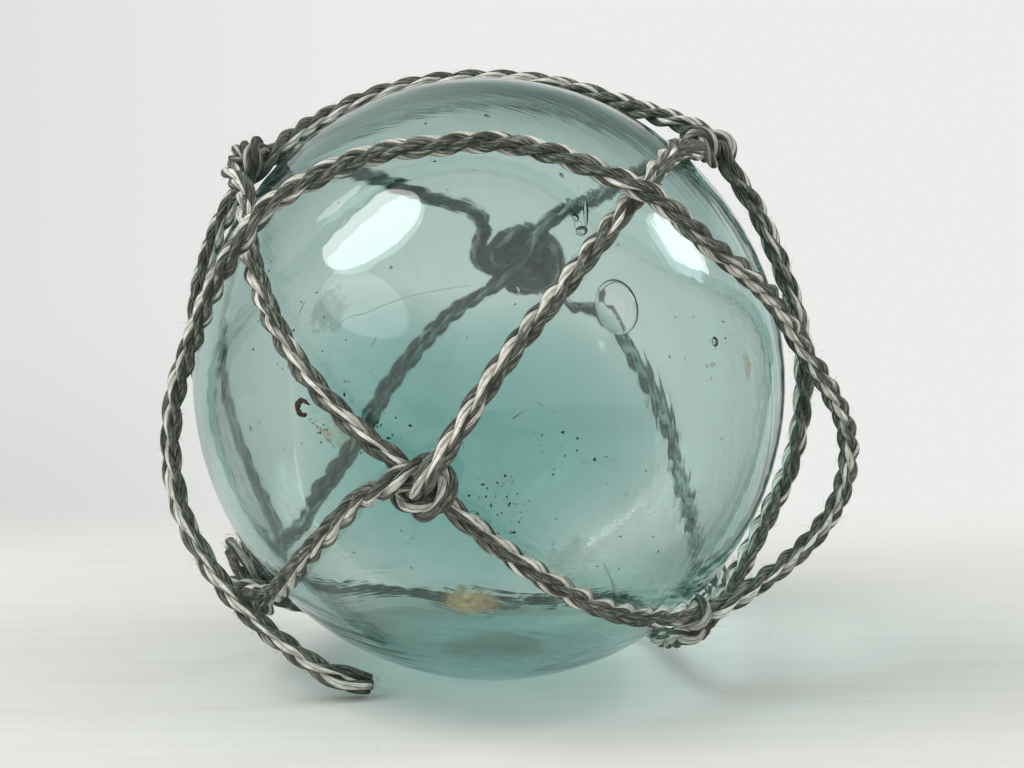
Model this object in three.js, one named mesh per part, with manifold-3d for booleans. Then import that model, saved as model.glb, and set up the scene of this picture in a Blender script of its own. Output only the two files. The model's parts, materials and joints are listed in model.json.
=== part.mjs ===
// A hollow blown glass fishing float in a knotted twine net, with the net's long free end
// draped round it. Millimetres, +Z up, and the viewer stands at -Y.
// The origin is the middle of the small flat spot that the ball rests on.
import * as THREE from 'three';
import { mergeVertices } from 'three/addons/utils/BufferGeometryUtils.js';
import Module from 'manifold-3d';

const wasm = await Module();
wasm.setup();

// Driving dimensions
const BALL_WIDTH = 75.8;
const BALL_LENGTH = 77.4;
const REST_SPOT_RADIUS = 7.5;
const SEAL_RADIUS = 9;
const SEAL_HEIGHT = 1.2;
const TWINE_DIAMETER = 2.7;
const CLEARANCE = 0.3;
const KNOT_LOOP_RADIUS = 2.4;
const KNOT_BEAD_RADIUS = 2.6;
const KNOT_BEAD_HEIGHT = 4;
// The knot that closes the net at the back is wider
const CLOSING_LOOP_RADIUS = 3.6;
const STUB_DIAMETER = 2.2;

// How the blown ball leans: its long axis tips to the left by this many degrees
const BALL_LEAN = 18.4;

// Fineness of the faceted solids
const BALL_SEGMENTS = 48;
const BALL_RINGS = 28;
const TWINE_SIDES = 8;
const LEG_STEPS = 13;
const CORD_STEPS = 50;
const LOOP_STEPS = 14;
const BEAD_SEGMENTS = 10;
const BEAD_RINGS = 6;

// What follows from them
const TWINE_RADIUS = TWINE_DIAMETER / 2;
const OVER = TWINE_DIAMETER * 0.7;
const LONG_AXIS = heading(-90, 90 - BALL_LEAN);
const SEAL_AT = heading(158, 6);
const BALL_DROP = skin(new THREE.Vector3(0, 0, -1));
const CENTRE_HEIGHT = Math.sqrt(BALL_DROP ** 2 - REST_SPOT_RADIUS ** 2);

// Knots of the net by heading: degrees round from the viewer to the right, and degrees up
const KNOTS = {
  front: [-11, -10],
  upper_right: [86, 48],
  upper_left: [-84, 43],
  lower_right: [57, -42],
  lower_left: [-84, -42],
  back: [172, 20],
};

// Legs between knots. Each end lies on the glass or over the other twine of its knot, and
// each bend between them is a heading and, where the leg stands off the glass, how far, in
// twine diameters.
const LEGS = [
  { ends: ['front', 'upper_right'], over: [1, 0], bends: [[2.5, 10], [16, 25], [35, 39.5], [58, 48]] },
  { ends: ['front', 'upper_left'], over: [0, 1], bends: [[-25, 1], [-37, 12], [-51, 25.5], [-68, 37]] },
  { ends: ['front', 'lower_right'], over: [0, 0], bends: [[7, -25.5], [29, -37.5]] },
  { ends: ['front', 'lower_left'], over: [1, 1], bends: [[-23, -14], [-37, -26], [-58, -38]] },
  { ends: ['upper_left', 'upper_right'], over: [0, 1],
    bends: [[-104, 57], [-130, 70], [165, 75], [113, 64]] },
  { ends: ['upper_right', 'lower_right'], over: [1, 1],
    bends: [[88, 30, 0.4], [90, 8, 0.5], [88, -12, 0.4], [79, -30]] },
  { ends: ['upper_left', 'lower_left'], over: [0, 0],
    bends: [[-94, 22], [-101, 2], [-107, -20], [-104, -36]] },
  { ends: ['lower_right', 'lower_left'], over: [1, 0],
    bends: [[72, -54], [128, -58], [-150, -58], [-104, -52]] },
  { ends: ['back', 'upper_left'], over: [1, 1], bends: [[-178, 31], [-160, 38], [-128, 46]] },
  { ends: ['back', 'upper_right'], over: [0, 0], bends: [[164, 31], [148, 38], [116, 48]] },
  { ends: ['back', 'lower_left'], over: [0, 1], bends: [[-171, 6], [-157, -8], [-144, -24], [-116, -37]] },
  { ends: ['back', 'lower_right'], over: [1, 0], bends: [[154, 8], [141, -10], [118, -33], [88, -42]] },
];

// Short cut ends that stand out of a knot: the knot, and where the end points, right, back
// and up, and its length in twine diameters
const STUBS = [
  { knot: 'upper_left', towards: [-0.9, -0.1, 0.25], length: 0.6 },
  { knot: 'upper_left', towards: [0.1, 0.3, 1], length: 0.6 },
  { knot: 'lower_left', towards: [-0.5, 0.3, 0.8], length: 1.8 },
  { knot: 'lower_right', towards: [0.6, -0.3, -0.6], length: 0.5 },
];

// The net's long free end, from its knot at the lower right, round in a loose bight, over
// the front of the ball and down to the surface at the left. Height is from that surface.
const CORD_ROUTE = [
  [29.9, -16.9, 12.6], [33.4, -15.2, 14.5], [37, -13.3, 16.6], [40.7, -11.5, 19.6],
  [43.8, -9.8, 23.7], [45.1, -9.2, 28.5], [44.6, -9.2, 33.2], [42.7, -9.9, 37.1],
  [40.2, -11, 41], [37.6, -12.8, 44.6], [34.5, -16.6, 49.2], [30.3, -22.3, 52.9],
  [24.6, -27.8, 57.2], [19, -29.9, 62], [13.1, -29.5, 64.8], [6.3, -27.4, 67.4],
  [-0.8, -26.1, 68.4], [-7.3, -25.7, 67.8], [-13.4, -25.1, 67], [-19.6, -26.1, 64.5],
  [-25.1, -26.5, 61.2], [-28, -26.3, 57.8], [-31.1, -23.8, 53.5], [-33.8, -20.5, 48.5],
  [-36.3, -16.6, 43.3], [-38.4, -13.9, 37.9], [-39.2, -12.8, 32.8], [-39.1, -12.8, 28.2],
  [-38.1, -13.5, 23.5], [-36, -14.7, 19.2], [-32.8, -16.2, 14.6], [-29, -17.2, 10.7],
  [-25, -17.4, 7.3], [-21.1, -17, 4.3], [-17.7, -16, 2.4], [-14.7, -15.2, 1.65],
];

const GLASS = { color: 0x8fc4bb, roughness: 0.06, metalness: 0 };
const TWINE = { color: 0x77736a, roughness: 0.9, metalness: 0 };

// A direction from the ball's centre
function heading(round, up) {
  const a = THREE.MathUtils.degToRad(round);
  const b = THREE.MathUtils.degToRad(up);
  return new THREE.Vector3(Math.sin(a) * Math.cos(b), -Math.cos(a) * Math.cos(b), Math.sin(b));
}

// How far the glass reaches from the ball's centre: an ellipsoid with the seal's low dome
function skin(direction) {
  const along = direction.dot(LONG_AXIS) ** 2;
  const egg = 1 / Math.sqrt((1 - along) / (BALL_WIDTH / 2) ** 2 + along / (BALL_LENGTH / 2) ** 2);
  const off = direction.angleTo(SEAL_AT) * egg / SEAL_RADIUS;
  return egg + (off < 1 ? SEAL_HEIGHT * (1 - off ** 2) ** 2 : 0);
}

// A point of the twine's middle line that lies on the glass, or higher by lift
function lying(direction, lift = 0) {
  return direction.clone().multiplyScalar(skin(direction) + CLEARANCE + TWINE_RADIUS + lift);
}

// Joins the vertices that a closed geometry shares and makes it a solid
function solid(geometry) {
  geometry.deleteAttribute('normal');
  geometry.deleteAttribute('uv');
  const merged = mergeVertices(geometry, 1e-4);
  return new wasm.Manifold(new wasm.Mesh({
    numProp: 3,
    vertProperties: Float32Array.from(merged.attributes.position.array),
    triVerts: Uint32Array.from(merged.index.array),
  }));
}

function geometryOf(body) {
  const { vertProperties, triVerts } = body.getMesh();
  const geometry = new THREE.BufferGeometry();
  geometry.setAttribute('position', new THREE.BufferAttribute(vertProperties, 3));
  geometry.setIndex(new THREE.BufferAttribute(triVerts, 1));
  return geometry;
}

// A round tube along a smooth curve through points
function tube(points, radius, steps) {
  const section = new THREE.Shape();
  for (let i = 0; i < TWINE_SIDES; i += 1) {
    const a = 2 * Math.PI * i / TWINE_SIDES;
    const corner = [radius * Math.cos(a), radius * Math.sin(a)];
    if (i === 0) section.moveTo(...corner);
    else section.lineTo(...corner);
  }
  section.closePath();
  const extrudePath = new THREE.CatmullRomCurve3(points, false, 'catmullrom', 0.5);
  return new THREE.ExtrudeGeometry(section, { steps, extrudePath, bevelEnabled: false });
}

function ball() {
  const geometry = new THREE.SphereGeometry(1, BALL_SEGMENTS, BALL_RINGS);
  geometry.rotateX(Math.PI / 2);
  const place = geometry.attributes.position;
  const point = new THREE.Vector3();
  for (let i = 0; i < place.count; i += 1) {
    point.fromBufferAttribute(place, i).normalize();
    point.multiplyScalar(skin(point));
    place.setXYZ(i, point.x, point.y, point.z);
  }
  const cut = new THREE.BoxGeometry(BALL_LENGTH, BALL_LENGTH, BALL_LENGTH);
  cut.translate(0, 0, -CENTRE_HEIGHT - BALL_LENGTH / 2);
  return solid(geometry).subtract(solid(cut));
}

function knotAt(name) {
  return heading(...KNOTS[name]);
}

// Evenly spaced points of a smooth curve, raised where they would sink into the glass
function clearOfGlass(points, steps) {
  const curve = new THREE.CatmullRomCurve3(points, false, 'catmullrom', 0.5);
  return curve.getSpacedPoints(steps).map((point) => {
    const least = lying(point.clone().normalize());
    return point.length() < least.length() ? least : point;
  });
}

function leg({ ends, over, bends }) {
  const points = [
    lying(knotAt(ends[0]), over[0] * OVER),
    ...bends.map(([round, up, lift = 0]) => lying(heading(round, up), lift * TWINE_DIAMETER)),
    lying(knotAt(ends[1]), over[1] * OVER),
  ];
  return tube(clearOfGlass(points, LEG_STEPS), TWINE_RADIUS, LEG_STEPS);
}

// The wrapped loop of a knot lies flat on the glass round its middle, under a low bead
function knot(name) {
  const out = knotAt(name);
  const size = name === 'back' ? CLOSING_LOOP_RADIUS / KNOT_LOOP_RADIUS : 1;
  const turn = new THREE.Quaternion().setFromUnitVectors(new THREE.Vector3(0, 0, 1), out);
  const middle = lying(out, OVER / 2 * size);
  const loop = new THREE.TorusGeometry(KNOT_LOOP_RADIUS * size, TWINE_RADIUS, TWINE_SIDES, LOOP_STEPS);
  const bead = new THREE.SphereGeometry(1, BEAD_SEGMENTS, BEAD_RINGS);
  bead.rotateX(Math.PI / 2);
  bead.scale(KNOT_BEAD_RADIUS * size, KNOT_BEAD_RADIUS * size, KNOT_BEAD_HEIGHT / 2 * size);
  return [loop, bead].map((geometry) => {
    geometry.applyQuaternion(turn);
    geometry.translate(middle.x, middle.y, middle.z);
    return solid(geometry);
  });
}

function stub({ knot: name, towards, length }) {
  const start = lying(knotAt(name), OVER / 2);
  const reach = new THREE.Vector3(...towards).setLength(KNOT_LOOP_RADIUS + length * TWINE_DIAMETER);
  return tube([start, start.clone().addScaledVector(reach, 0.5), start.clone().add(reach)],
    STUB_DIAMETER / 2, 4);
}

function net() {
  const pieces = [
    ...LEGS.map((one) => solid(leg(one))),
    ...Object.keys(KNOTS).flatMap(knot),
    ...STUBS.map((one) => solid(stub(one))),
  ];
  return pieces.reduce((all, piece) => all.add(piece));
}

function cord() {
  const points = CORD_ROUTE.map(([x, y, z]) => new THREE.Vector3(x, y, z - CENTRE_HEIGHT));
  return solid(tube(clearOfGlass(points, CORD_STEPS), TWINE_RADIUS, CORD_STEPS));
}

function piece(name, body, finish) {
  const mesh = new THREE.Mesh(geometryOf(body), new THREE.MeshStandardMaterial(finish));
  mesh.name = name;
  mesh.position.z = CENTRE_HEIGHT;
  return mesh;
}

const group = new THREE.Group();
group.add(piece('glass_ball', ball(), GLASS));
group.add(piece('twine_net', net(), TWINE));
group.add(piece('loose_cord', cord(), TWINE));

export default group;
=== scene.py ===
"""A hollow blown glass fishing float in a knotted net of old twine, its long end draped round it.

The float rests on its small flat spot at the origin, +Z is up and the viewer stands at -Y.
Lengths are in metres, headings are degrees round from the viewer to the right and degrees up.
"""
from __future__ import annotations

import json
import logging
import math
from dataclasses import dataclass, field
from enum import Enum
from typing import Any

import bpy
import numpy as np
from mathutils import Matrix, Vector

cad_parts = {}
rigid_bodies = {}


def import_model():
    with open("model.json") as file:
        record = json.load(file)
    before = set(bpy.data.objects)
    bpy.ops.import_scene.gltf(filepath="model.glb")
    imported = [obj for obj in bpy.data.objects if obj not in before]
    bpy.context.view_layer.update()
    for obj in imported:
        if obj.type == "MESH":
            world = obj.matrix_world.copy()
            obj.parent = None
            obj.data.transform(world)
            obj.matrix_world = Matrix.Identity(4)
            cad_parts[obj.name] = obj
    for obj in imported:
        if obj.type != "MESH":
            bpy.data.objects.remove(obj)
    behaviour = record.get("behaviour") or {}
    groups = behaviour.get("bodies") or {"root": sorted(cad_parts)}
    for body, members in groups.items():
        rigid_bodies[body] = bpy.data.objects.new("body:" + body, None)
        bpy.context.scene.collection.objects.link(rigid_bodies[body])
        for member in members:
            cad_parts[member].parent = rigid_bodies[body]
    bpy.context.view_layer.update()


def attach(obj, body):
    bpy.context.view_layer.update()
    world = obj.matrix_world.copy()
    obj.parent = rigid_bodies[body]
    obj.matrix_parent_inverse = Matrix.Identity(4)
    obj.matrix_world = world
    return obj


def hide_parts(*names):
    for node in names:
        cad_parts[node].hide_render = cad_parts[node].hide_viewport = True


log = logging.getLogger("glass_float")


def heading(round_about: float, up: float) -> np.ndarray:
    """Gives the direction of a heading.

    Args:
        round_about: Degrees round from the viewer to the right.
        up: Degrees up from level.

    Returns:
        A vector one metre long.
    """
    a, b = math.radians(round_about), math.radians(up)
    return np.array([math.sin(a) * math.cos(b), -math.cos(a) * math.cos(b), math.sin(b)])


def unit(vectors: np.ndarray) -> np.ndarray:
    """Gives the same vectors one metre long."""
    return vectors / np.linalg.norm(vectors, axis=-1, keepdims=True)


def smooth_line(points: np.ndarray, closed: bool, fine: int = 24) -> np.ndarray:
    """Draws the same smooth curve through points as the CAD model does.

    Args:
        points: The points it goes through.
        closed: Whether it runs from the last point to the first.
        fine: How many steps there are between two points.

    Returns:
        The points of the curve.
    """
    count = len(points)
    if closed:
        index = np.arange(count)
        four = [points[(index + k) % count] for k in (-1, 0, 1, 2)]
    else:
        padded = np.vstack([2 * points[0] - points[1], points, 2 * points[-1] - points[-2]])
        four = [padded[k:k + count - 1] for k in range(4)]
    before, here, there, after = four
    t = np.linspace(0, 1, fine, endpoint=False)[None, :, None]
    leave = (there - here + here - before)[:, None] / 2
    arrive = (after - here)[:, None] / 2
    a, b = here[:, None], there[:, None]
    curve = (a + leave * t + (3 * (b - a) - 2 * leave - arrive) * t ** 2
             + (2 * (a - b) + leave + arrive) * t ** 3).reshape(-1, 3)
    return curve if closed else np.vstack([curve, points[-1]])


def evenly(points: np.ndarray, step: float, closed: bool) -> np.ndarray:
    """Gives points evenly spaced along a line.

    Args:
        points: The line.
        step: The distance between two points, about.
        closed: Whether the line runs from its last point to its first.

    Returns:
        The points; a closed line's first point isn't repeated.
    """
    line = np.vstack([points, points[:1]]) if closed else points
    along = np.concatenate([[0], np.cumsum(np.linalg.norm(np.diff(line, axis=0), axis=1))])
    count = max(8, round(along[-1] / step))
    at = np.linspace(0, along[-1], count + 1)
    if closed:
        at = at[:-1]
    return np.column_stack([np.interp(at, along, line[:, k]) for k in range(3)])


def softened(points: np.ndarray, rounds: int, closed: bool) -> np.ndarray:
    """Takes small kinks out of a line by averaging neighbours, and keeps an open line's ends.

    Args:
        points: The line.
        rounds: How often neighbours are averaged.
        closed: Whether the last point joins the first.

    Returns:
        The softer line.
    """
    for _ in range(rounds):
        mean = (np.roll(points, 1, axis=0) + 2 * points + np.roll(points, -1, axis=0)) / 4
        if not closed:
            mean[0], mean[-1] = points[0], points[-1]
        points = mean
    return points


def wander(along: np.ndarray, reach: float, seed: int, closed: bool = False) -> np.ndarray:
    """Gives smooth random numbers from -1 to 1 along a line.

    Args:
        along: The distance along the line at each of its points.
        reach: The distance over which the numbers change.
        seed: The seed of the numbers.
        closed: Whether the last number has to meet the first.

    Returns:
        One number for each point.
    """
    count = max(4, round(along[-1] / reach))
    posts = np.random.default_rng(seed).uniform(-1, 1, count + 1)
    if closed:
        posts[-1] = posts[0]
    place = np.clip(along / along[-1] * count, 0, count - 1e-9)
    post = place.astype(int)
    part = place - post
    share = part ** 2 * (3 - 2 * part)
    return posts[post] * (1 - share) + posts[post + 1] * share


def finished(mesh: bpy.types.Mesh, material: bpy.types.Material) -> bpy.types.Object:
    """Gives a mesh its finish and puts it in the scene.

    Args:
        mesh: The mesh, which bears the piece's name.
        material: Its finish.

    Returns:
        The piece.
    """
    mesh.materials.append(material)
    piece = bpy.data.objects.new(mesh.name, mesh)
    bpy.context.scene.collection.objects.link(piece)
    return piece


class Socket:
    """An output socket of a material, on which Python's operators add Math nodes."""

    def __init__(self, shader: Shader, socket: bpy.types.NodeSocket) -> None:
        """Wraps one socket of a shader's node tree."""
        self.shader = shader
        self.socket = socket

    def _math(self, operation: str, *values: Any) -> Socket:
        """Adds a Math node."""
        return self.shader.add("ShaderNodeMath", {"operation": operation}, dict(enumerate(values)))

    def __add__(self, other: Any) -> Socket:
        """Adds."""
        return self._math("ADD", self, other)

    def __sub__(self, other: Any) -> Socket:
        """Subtracts."""
        return self._math("SUBTRACT", self, other)

    def __rsub__(self, other: Any) -> Socket:
        """Subtracts this from a number."""
        return self._math("SUBTRACT", other, self)

    def __mul__(self, other: Any) -> Socket:
        """Multiplies."""
        return self._math("MULTIPLY", self, other)

    def __pow__(self, other: Any) -> Socket:
        """Raises to a power."""
        return self._math("POWER", self, other)

    __radd__ = __add__
    __rmul__ = __mul__

    def function(self, operation: str, *values: Any) -> Socket:
        """Applies another of the Math node's operations."""
        return self._math(operation, self, *values)

    def between(self, low: float, high: float) -> Socket:
        """Gives 0 at low, 1 at high and a smooth step between them."""
        return self.shader.add("ShaderNodeMapRange", {"interpolation_type": "SMOOTHSTEP"},
                               {0: self, 1: low, 2: high, 3: 0.0, 4: 1.0})


class Shader:
    """The node tree of one material, or of the world."""

    def __init__(self, name: str, world: bool = False) -> None:
        """Makes the material or the world with an empty tree.

        Args:
            name: Its name.
            world: Whether it is the world's.
        """
        self.material = (bpy.data.worlds if world else bpy.data.materials).new(name)
        self.material.use_nodes = True
        self.tree = self.material.node_tree
        self.tree.nodes.clear()

    def add(self, kind: str, settings: dict[str, Any] | None = None,
            sockets: dict[str | int, Any] | None = None, output: str | int = 0) -> Socket:
        """Adds a node.

        Args:
            kind: The node's type.
            settings: Its own settings; stops are a ramp's places and colours.
            sockets: A value or a Socket for each of its inputs.
            output: The output to give back.

        Returns:
            That output.
        """
        node = self.tree.nodes.new(kind)
        for name, value in (settings or {}).items():
            if name == "stops":
                self._set_stops(node.color_ramp, value)
            else:
                setattr(node, name, value)
        for name, value in (sockets or {}).items():
            if isinstance(value, Socket):
                self.tree.links.new(value.socket, node.inputs[name])
            else:
                node.inputs[name].default_value = value
        return Socket(self, node.outputs[output]) if node.outputs else Socket(self, None)

    @staticmethod
    def _set_stops(ramp: bpy.types.ColorRamp, stops: list[tuple[float, tuple]]) -> None:
        """Sets a ramp's stops.

        Args:
            ramp: The ramp.
            stops: The place and colour of each.
        """
        while len(ramp.elements) < len(stops):
            ramp.elements.new(1.0)
        for element, (place, colour) in zip(ramp.elements, stops):
            element.position = place
            element.color = (*colour, 1.0)

    def mix(self, first: Any, second: Any, share: Any) -> Socket:
        """Mixes two colours."""
        return self.add("ShaderNodeMix", {"data_type": "RGBA"}, {0: share, 6: first, 7: second}, 2)

    def vector(self, x: Any, y: Any, z: Any) -> Socket:
        """Joins three numbers to a vector."""
        return self.add("ShaderNodeCombineXYZ", None, {0: x, 1: y, 2: z})

    def parts(self, vector: Socket) -> list[Socket]:
        """Gives a vector's three numbers."""
        node = self.add("ShaderNodeSeparateXYZ", None, {0: vector}).socket.node
        return [Socket(self, output) for output in node.outputs]

    def noise(self, where: Socket, scale: float, detail: float = 2.0, **more: float) -> Socket:
        """Adds a noise pattern from 0 to 1 at a place."""
        extra = {name.title(): value for name, value in more.items()}
        return self.add("ShaderNodeTexNoise", None,
                        {"Vector": where, "Scale": scale, "Detail": detail, **extra})

    def objects(self) -> Socket:
        """Gives the place on the object."""
        return self.add("ShaderNodeTexCoord", None, None, "Object")

    def surface(self, shader: Socket) -> bpy.types.Material:
        """Sends a shader to the material's surface."""
        self.add("ShaderNodeOutputMaterial", None, {"Surface": shader})
        return self.material


class Modelling:
    """The few steps of modelling by hand that several pieces share."""

    @staticmethod
    def only(piece: bpy.types.Object) -> None:
        """Selects one object and nothing else."""
        bpy.ops.object.select_all(action="DESELECT")
        piece.select_set(True)
        bpy.context.view_layer.objects.active = piece

    @classmethod
    def apply(cls, piece: bpy.types.Object, kind: str, **settings: Any) -> None:
        """Adds a modifier and applies it.

        Args:
            piece: The object.
            kind: The modifier's type.
            settings: Its settings.
        """
        cls.only(piece)
        modifier = piece.modifiers.new(kind.title(), kind)
        for name, value in settings.items():
            setattr(modifier, name, value)
        bpy.ops.object.modifier_apply(modifier=modifier.name)

    @classmethod
    def place(cls, piece: bpy.types.Object) -> None:
        """Moves an object's place and turn into its mesh."""
        cls.only(piece)
        bpy.ops.object.transform_apply(location=True, rotation=True, scale=True)

    @staticmethod
    def weigh(piece: bpy.types.Object, name: str, weights: np.ndarray) -> None:
        """Paints one weight for each vertex into a vertex group.

        Args:
            piece: The object.
            name: The group's name.
            weights: The weights, from 0 to 1.
        """
        group = piece.vertex_groups.new(name=name)
        for index, weight in enumerate(weights.tolist()):
            group.add([index], weight, "REPLACE")

    @staticmethod
    def corners(piece: bpy.types.Object) -> np.ndarray:
        """Gives the places of an object's vertices."""
        flat = np.empty(len(piece.data.vertices) * 3)
        piece.data.vertices.foreach_get("co", flat)
        return flat.reshape(-1, 3)


@dataclass
class Viewpoint:
    """The camera, which stands a hand's breadth above the float and looks a little down."""

    distance: float = 0.25
    elevation: float = 7.0
    target_height: float = 0.03788
    lens: float = 67.83
    sensor: float = 36.0
    aim: tuple[float, float, float] = (0.01166, 0.99218, -0.12424)

    def build(self) -> bpy.types.Object:
        """Makes the camera and gives it to the scene.

        Returns:
            The camera.
        """
        place = np.array([0.0, -math.cos(math.radians(self.elevation)),
                          math.sin(math.radians(self.elevation))]) * self.distance
        data = bpy.data.cameras.new("camera")
        data.lens = self.lens
        data.sensor_width = self.sensor
        data.clip_start = 0.01
        data.clip_end = 20.0
        camera = bpy.data.objects.new("camera", data)
        camera.location = (place[0], place[1], place[2] + self.target_height)
        camera.rotation_euler = Vector(self.aim).to_track_quat("-Z", "Y").to_euler()
        bpy.context.scene.collection.objects.link(camera)
        bpy.context.scene.camera = camera
        return camera


@dataclass(frozen=True)
class OldTwine:
    """The finish of the net's twine: grey yarns and a few pale ones in each strand, all fibrous from wear,
    with painted shade in the grooves between the yarns.
    """

    yarns: int = 7
    # The pale yarns, by number, and how often each is worn off or soiled
    pale_yarns: tuple = ((1, 0.3), (2, 0.42), (4, 0.5))
    dark: tuple = ((0.42, (0.017, 0.021, 0.016)), (0.515, (0.08, 0.094, 0.075)), (0.61, (0.4, 0.425, 0.36)))
    pale: tuple = ((0.38, (0.19, 0.185, 0.15)), (0.47, (0.64, 0.62, 0.54)), (0.58, (0.94, 0.93, 0.87)))
    # The dark of soiled twine and cut ends, which also paints shade into the grooves between the yarns
    soot_and_groove_shade: tuple = (0.014, 0.017, 0.0125)

    @staticmethod
    def _pale(s: Shader, number: Socket, yarn: int, shown: Socket) -> Socket:
        """Marks one yarn's lane where it shows pale."""
        inside = number.between(yarn - 0.04, yarn + 0.04) * (1 - number.between(yarn + 0.96, yarn + 1.04))
        return inside * shown

    def material(self) -> bpy.types.Material:
        """Makes the material, which reads the twine's own yarn map.

        Returns:
            The material.
        """
        s = Shader("old_twine")
        turn, along, _ = s.parts(s.add("ShaderNodeUVMap", {"uv_map": "yarns"}))
        strand = s.add("ShaderNodeAttribute", {"attribute_name": "strand"}, None, "Fac")
        cut_end = s.add("ShaderNodeAttribute", {"attribute_name": "cut_end"}, None, "Fac")
        sway = s.noise(s.vector(turn * 3, along * 150, strand * 9), 1.0) - 0.5
        ragged = s.noise(s.vector(turn * 30, along * 420, strand * 9), 1.0, 3.0) - 0.5
        lane = (turn + sway * 0.06 + ragged * 0.045) * self.yarns
        valley = (lane.function("FRACT") * 2 - 1).function("ABSOLUTE")
        number = (lane * (1 / self.yarns)).function("FRACT") * self.yarns
        pale: Any = 0.0
        for yarn, wear_and_shade in self.pale_yarns:
            shown = s.noise(s.vector(along * 60, strand * 7.7, yarn * 3.1), 1.0).between(wear_and_shade, wear_and_shade + 0.08)
            pale = self._pale(s, number, yarn, shown) + pale
        fibre = s.noise(s.vector(turn * 24, along * 520, strand * 17), 1.0, 5.0, roughness=0.78)
        own = s.noise(s.vector(lane.function("FLOOR") * 1.7, along * 24, strand * 31), 1.0)
        tone = fibre * 0.82 + own * 0.18
        dark = s.add("ShaderNodeValToRGB", {"stops": list(self.dark)}, {0: tone})
        light = s.add("ShaderNodeValToRGB", {"stops": list(self.pale)}, {0: tone})
        colour = s.mix(dark, light, pale)
        # Painted shade: the grooves between the yarns are darkened towards the soot colour, beyond the shade
        # that the strands cast
        colour = s.mix(colour, (*self.soot_and_groove_shade, 1), valley.between(0.76, 1.0) * 0.7)
        colour = s.mix(colour, (*self.soot_and_groove_shade, 1), cut_end * 0.85)
        height = (1 - valley ** 3) * 0.45 + fibre * 0.55
        bump = s.add("ShaderNodeBump", None, {"Strength": 1.0, "Distance": 0.0004, "Height": height})
        return s.surface(s.add("ShaderNodeBsdfPrincipled", None, {
            "Base Color": colour, "Roughness": 0.78, "Normal": bump,
            "Specular IOR Level": 0.3, "Sheen Weight": 0.1, "Sheen Roughness": 0.5}))


@dataclass(frozen=True)
class Plain:
    """A dull finish with a mottled colour, for lint, grit and dried weed."""

    name: str
    low: tuple
    high: tuple
    scale: float

    def material(self) -> bpy.types.Material:
        """Makes the material."""
        s = Shader(self.name)
        tone = s.noise(s.objects(), self.scale, 3.0)
        colour = s.mix((*self.low, 1), (*self.high, 1), tone.between(0.35, 0.65))
        return s.surface(s.add("ShaderNodeBsdfPrincipled", None, {
            "Base Color": colour, "Roughness": 0.85, "Specular IOR Level": 0.2}))


@dataclass(frozen=True)
class SeaGlass:
    """The finish of the blown glass: pale green, with fine rings drawn round the blowing axis."""

    ior: float = 1.5
    roughness: float = 0.035
    absorbed: tuple = (0.45, 0.735, 0.715, 1)
    film: tuple = (0.975, 0.942, 0.925, 1)
    depth_of_colour: float = 275.0
    lets_through: tuple = (1.0, 1.0, 1.0, 1)
    blown_along: tuple[float, float] = (158.0, 6.0)
    relief: float = 0.00014

    def _relief(self, s: Shader, ball: GlassBall) -> Socket:
        """Shapes the fine waves of the surface: rings round the blowing axis, and bands low down.

        Args:
            s: The material's shader.
            ball: The ball that it is the glass of.

        Returns:
            The height.
        """
        x, y, z = s.parts(s.objects())
        axis = heading(*self.blown_along)
        ahead = (x * float(axis[0]) + y * float(axis[1]) + (z - float(ball.centre[2])) * float(axis[2]))
        round_it = 1 - (ahead * (2 / ball.width)).function("ABSOLUTE").between(0.35, 0.95)
        low = 1 - z.between(0.006, 0.034)
        uneven = s.noise(s.objects(), 55.0, 1.0)
        swirl = (s.noise(s.objects(), 38.0, 1.0) - 0.5) * 0.012
        bands = s.noise(s.vector(x * 12, (z + swirl) * 170, y * 12), 1.0, 1.0)
        comb = s.noise(s.vector(x * 70, (z + swirl) * 950, y * 70), 1.0, 2.0)
        rings = s.noise(s.vector(x * 50, ahead * 900, z * 50), 1.0, 1.0)
        fine = s.noise(s.vector(x * 160, ahead * 2300, z * 160), 1.0, 2.0)
        return (uneven + bands * low * 2.3 + comb * (low * 0.22 + 0.02) + rings * (round_it * 0.08 + 0.04)
                + fine * (round_it * 0.026 + 0.016))

    def material(self, ball: GlassBall) -> bpy.types.Material:
        """Makes the material, see-through with its colour in its depth.

        Args:
            ball: The ball that it is the glass of.

        Returns:
            The material.
        """
        s = Shader("sea_glass")
        bump = s.add("ShaderNodeBump", None,
                     {"Strength": 1.0, "Distance": self.relief, "Height": self._relief(s, ball)})
        glass = s.add("ShaderNodeBsdfPrincipled", None, {
            "Base Color": self.film, "Roughness": self.roughness, "IOR": self.ior,
            "Transmission Weight": 1.0, "Normal": bump})
        clear = s.add("ShaderNodeBsdfTransparent", None, {"Color": self.lets_through})
        shadow = s.add("ShaderNodeLightPath", None, None, "Is Shadow Ray")
        both = s.add("ShaderNodeMixShader", None, {0: shadow, 1: glass, 2: clear})
        tint = s.add("ShaderNodeVolumeAbsorption", None,
                     {"Color": self.absorbed, "Density": self.depth_of_colour})
        s.add("ShaderNodeOutputMaterial", None, {"Surface": both, "Volume": tint})
        return s.material


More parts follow.
